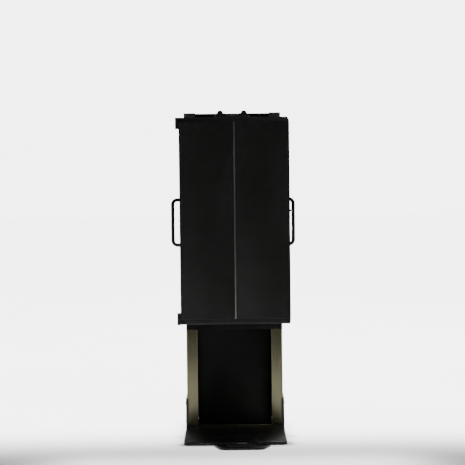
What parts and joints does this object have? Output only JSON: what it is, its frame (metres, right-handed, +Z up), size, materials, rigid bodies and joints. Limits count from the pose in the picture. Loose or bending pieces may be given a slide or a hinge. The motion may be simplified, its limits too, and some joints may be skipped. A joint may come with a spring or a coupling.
{
  "type": "trash compactor",
  "caption": "Slim trash compactor: a press cabinet with a hinged door and side handles on a steel column, over an open bay and a foot plate with a pedal.",
  "frame": {"origin": "on the floor, under the centre of the bounding box", "axes": "+Z up, the door faces -Y, +X is to the viewer's right"},
  "size_m": [0.333, 0.456, 0.8779],
  "materials": {
    "frame_paint": "satin black powder coat",
    "door_paint": "smooth satin black",
    "foot_paint": "semi-gloss black",
    "post_steel": "brushed, warm",
    "trim_metal": "satin",
    "bright_steel": "ground and oiled",
    "cast_metal": "as cast, grey",
    "bronze": "turned",
    "rubber": "matte",
    "black_plastic": "fine texture",
    "switch_plastic": "gloss"
  },
  "bodies": {
    "frame": {"bay_back_panel": "frame_paint", "bay_header": "frame_paint", "column_cap": "frame_paint", "rear_cover": "frame_paint", "left_cheek": "frame_paint", "right_cheek": "frame_paint", "top_bar": "frame_paint", "bottom_bar": "frame_paint", "cabinet_left_side": "frame_paint", "cabinet_right_side": "frame_paint", "cabinet_top": "frame_paint", "cabinet_floor": "frame_paint", "left_handle": "frame_paint", "right_handle": "frame_paint", "upper_hinge_bracket": "frame_paint", "lower_hinge_bracket": "frame_paint", "foot_plate": "foot_paint", "left_post": "post_steel", "right_post": "post_steel", "sill_strip": "post_steel", "left_guide_rod": "bright_steel", "right_guide_rod": "bright_steel", "left_cap_nut": "bright_steel", "right_cap_nut": "bright_steel", "pedal_pin": "bright_steel", "pedal_spring": "bright_steel", "latch_strike": "bright_steel", "top_bracket": "cast_metal", "guide_plate": "cast_metal", "drive_deck": "cast_metal", "bearing_block": "cast_metal", "motor": "cast_metal", "front_left_glide": "rubber", "front_right_glide": "rubber", "rear_left_glide": "rubber", "rear_right_glide": "rubber", "drive_belt": "rubber", "control_box": "black_plastic", "upper_limit_switch": "black_plastic", "lower_limit_switch": "black_plastic", "power_inlet": "black_plastic"},
    "door": {"door_pan": "door_paint", "door_liner": "door_paint", "left_door_panel": "door_paint", "right_door_panel": "door_paint", "door_trim": "trim_metal", "upper_door_knuckle": "frame_paint", "lower_door_knuckle": "frame_paint"},
    "latch": {"latch_lever": "frame_paint"},
    "ram": {"ram_plate": "bright_steel", "ram_tube": "bright_steel", "crosshead": "cast_metal", "left_guide_bush": "bronze", "right_guide_bush": "bronze", "ram_nut": "bronze"},
    "screw": {"lead_screw": "bright_steel", "screw_pulley": "cast_metal"},
    "motor_rotor": {"motor_pulley": "bright_steel"},
    "pedal": {"foot_pedal": "foot_paint"},
    "rocker": {"power_rocker": "switch_plastic"}
  },
  "joints": [
    {"name": "door_swing", "type": "hinge", "parent": "frame", "child": "door", "pos_m": [-0.144, -0.143, 0.58575], "axis": [0, 0, -1], "range_deg": [0, 110]},
    {"name": "latch_turn", "type": "hinge", "parent": "door", "child": "latch", "pos_m": [0.1506, -0.143, 0.611], "axis": [1, 0, 0], "range_deg": [0, 90]},
    {"name": "ram_stroke", "type": "slide", "parent": "frame", "child": "ram", "axis": [0, 0, -1], "range_m": [0, 0.25]},
    {"name": "screw_spin", "type": "hinge", "parent": "frame", "child": "screw", "pos_m": [0, -0.024, 0.829], "axis": [0, 0, 1], "range_deg": [0, 3610]},
    {"name": "motor_spin", "type": "hinge", "parent": "frame", "child": "motor_rotor", "pos_m": [0, 0.05, 0.829], "axis": [0, 0, 1], "range_deg": [0, 9020]},
    {"name": "pedal_press", "type": "hinge", "parent": "frame", "child": "pedal", "pos_m": [0.018, -0.1655, 0.0055], "axis": [1, 0, 0], "range_deg": [0, 2.5], "stiffness_Nm_per_rad": 1, "springref_deg": -17.19},
    {"name": "rocker_switch", "type": "hinge", "parent": "frame", "child": "rocker", "pos_m": [0, 0.217, 0.12], "axis": [1, 0, 0], "range_deg": [0, 14]}
  ],
  "couplings": [
    {"joint": "screw_spin", "follows": "ram_stroke", "rad_per_m": 251.33},
    {"joint": "motor_spin", "follows": "ram_stroke", "rad_per_m": 628.32}
  ]
}
